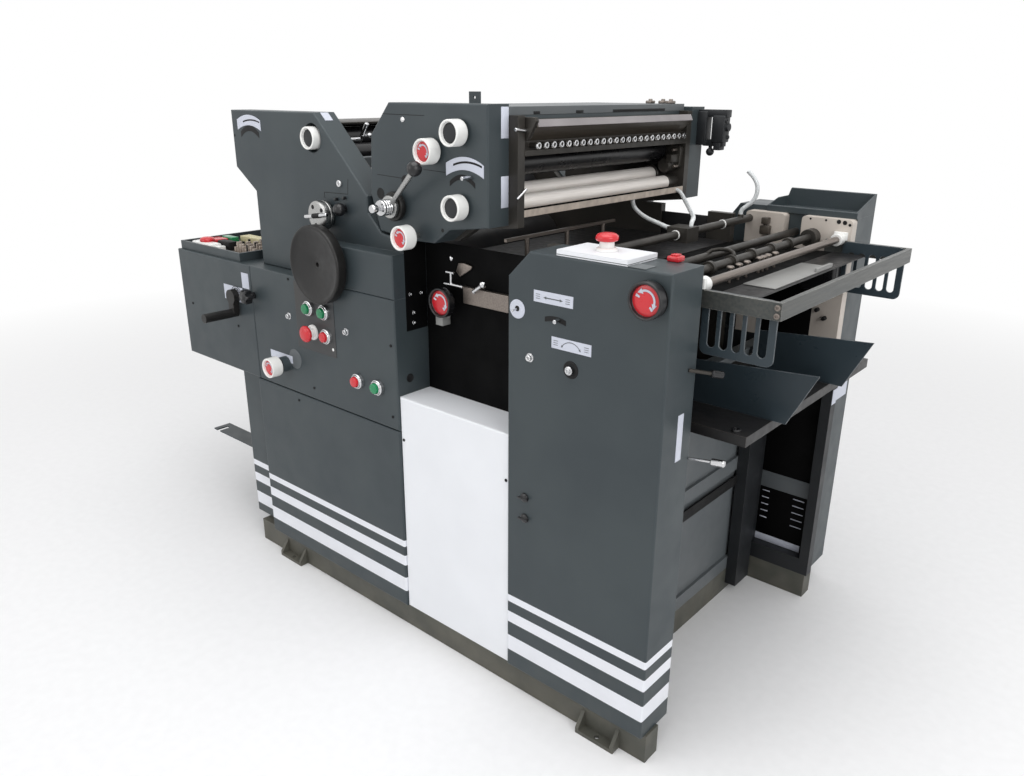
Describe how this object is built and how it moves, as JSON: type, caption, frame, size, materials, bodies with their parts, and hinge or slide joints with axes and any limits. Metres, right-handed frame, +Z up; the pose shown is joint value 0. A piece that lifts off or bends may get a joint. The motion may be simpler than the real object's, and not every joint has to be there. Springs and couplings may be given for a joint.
{
  "type": "bag printing machine",
  "caption": "Sheet-fed offset press for non-woven bags: base on anchor feet, feeder with lifting table, inking and plate units on top, delivery box at the other end.",
  "frame": {"origin": "on the floor at the centre of the four anchor holes", "axes": "+X to the feeder end, +Y away from the operator, +Z up"},
  "size_m": [1.792, 1.033, 1.277],
  "materials": {
    "slate_paint": "semi-gloss",
    "dark_paint": "satin",
    "base_paint": "satin",
    "white_paint": "satin",
    "cream_paint": "satin",
    "machined_steel": "brushed",
    "bright_steel": "polished",
    "cast_handwheel": "satin",
    "white_plastic": "gloss",
    "black_plastic": "gloss",
    "hose_plastic": "gloss"
  },
  "bodies": {
    "machine": {"access_cover": "white_paint", "air_hose": "hose_plastic", "anchor_feet": "base_paint", "base_frame": "base_paint", "cross_panel": "dark_paint", "delivery_deck": "slate_paint", "delivery_end_panel": "slate_paint", "drain_hose": "hose_plastic", "end_panel": "slate_paint", "end_strip_cover": "slate_paint", "far_bracket": "dark_paint", "far_cabinet_cap": "slate_paint", "far_cover": "slate_paint", "far_delivery_cover": "slate_paint", "far_feeder_cabinet": "slate_paint", "far_feeder_wall": "dark_paint", "far_inner_plate": "cream_paint", "far_side_frame": "dark_paint", "far_unit_covers": "slate_paint", "feed_board": "machined_steel", "feeder_rods": "dark_paint", "frame_arms": "dark_paint", "ink_fountain": "machined_steel", "ink_key_bar": "machined_steel", "ink_unit_near_cover": "slate_paint", "left_unit_near_cover": "slate_paint", "lift_columns": "dark_paint", "near_delivery_cover": "slate_paint", "near_feeder_cabinet": "slate_paint", "near_lower_cover": "slate_paint", "near_middle_cover": "slate_paint", "near_side_frame": "dark_paint", "push_buttons": "black_plastic", "rollers": "machined_steel", "roof_and_tie": "slate_paint", "sheet_guides": "machined_steel", "silver_rod": "bright_steel", "slotted_plates": "machined_steel", "supply_hose": "hose_plastic", "top_control_plate": "white_paint", "water_tray": "machined_steel"},
    "handwheel": {"handwheel": "cast_handwheel"},
    "left_unit_knob": {"left_unit_knob": "white_plastic"},
    "ink_top_knob": {"ink_top_knob": "white_plastic"},
    "ink_side_knob": {"ink_side_knob": "white_plastic"},
    "ink_low_knob": {"ink_low_knob": "white_plastic"},
    "ink_shaft_knob": {"ink_shaft_knob": "white_plastic"},
    "lower_knob": {"lower_knob": "white_plastic"},
    "cabinet_knob": {"cabinet_knob": "black_plastic"},
    "opening_knob": {"opening_knob": "black_plastic"},
    "chuck_hub": {"chuck_hub": "machined_steel"},
    "crank": {"crank": "cast_handwheel"},
    "pressure_lever": {"pressure_lever": "bright_steel"},
    "feed_table": {"feed_table": "machined_steel", "table_carriage": "dark_paint", "pile_guides": "machined_steel"}
  },
  "joints": [
    {"name": "handwheel_turn", "type": "hinge", "parent": "machine", "child": "handwheel", "pos_m": [-0.283, -0.44, 0.897], "axis": [0, 1, 0], "continuous": true},
    {"name": "left_unit_knob_turn", "type": "hinge", "parent": "machine", "child": "left_unit_knob", "pos_m": [-0.352, -0.44, 1.174], "axis": [0, 1, 0], "continuous": true},
    {"name": "ink_top_knob_turn", "type": "hinge", "parent": "machine", "child": "ink_top_knob", "pos_m": [0.129, -0.44, 1.202], "axis": [0, 1, 0], "continuous": true},
    {"name": "ink_side_knob_turn", "type": "hinge", "parent": "machine", "child": "ink_side_knob", "pos_m": [0.053, -0.44, 1.164], "axis": [0, 1, 0], "continuous": true},
    {"name": "ink_low_knob_turn", "type": "hinge", "parent": "machine", "child": "ink_low_knob", "pos_m": [0.129, -0.44, 1.06], "axis": [0, 1, 0], "continuous": true},
    {"name": "ink_shaft_knob_turn", "type": "hinge", "parent": "machine", "child": "ink_shaft_knob", "pos_m": [-0.002, -0.44, 0.989], "axis": [0, 1, 0], "continuous": true},
    {"name": "lower_knob_turn", "type": "hinge", "parent": "machine", "child": "lower_knob", "pos_m": [-0.478, -0.44, 0.609], "axis": [0, 1, 0], "continuous": true},
    {"name": "cabinet_knob_turn", "type": "hinge", "parent": "machine", "child": "cabinet_knob", "pos_m": [0.603, -0.44, 0.957], "axis": [0, 1, 0], "continuous": true},
    {"name": "opening_knob_turn", "type": "hinge", "parent": "machine", "child": "opening_knob", "pos_m": [0.038, -0.44, 0.845], "axis": [0, 1, 0], "continuous": true},
    {"name": "chuck_hub_turn", "type": "hinge", "parent": "machine", "child": "chuck_hub", "pos_m": [-0.309, -0.44, 1.004], "axis": [0, 1, 0], "continuous": true},
    {"name": "crank_turn", "type": "hinge", "parent": "machine", "child": "crank", "pos_m": [-0.686, -0.44, 0.755], "axis": [0, 1, 0], "continuous": true},
    {"name": "pressure_lever_swing", "type": "hinge", "parent": "machine", "child": "pressure_lever", "pos_m": [-0.063, -0.4, 1.045], "axis": [0, -1, 0], "range_deg": [-20, 40]},
    {"name": "feed_table_lift", "type": "slide", "parent": "machine", "child": "feed_table", "axis": [0, 0, 1], "range_m": [-0.4, 0.1]}
  ]
}
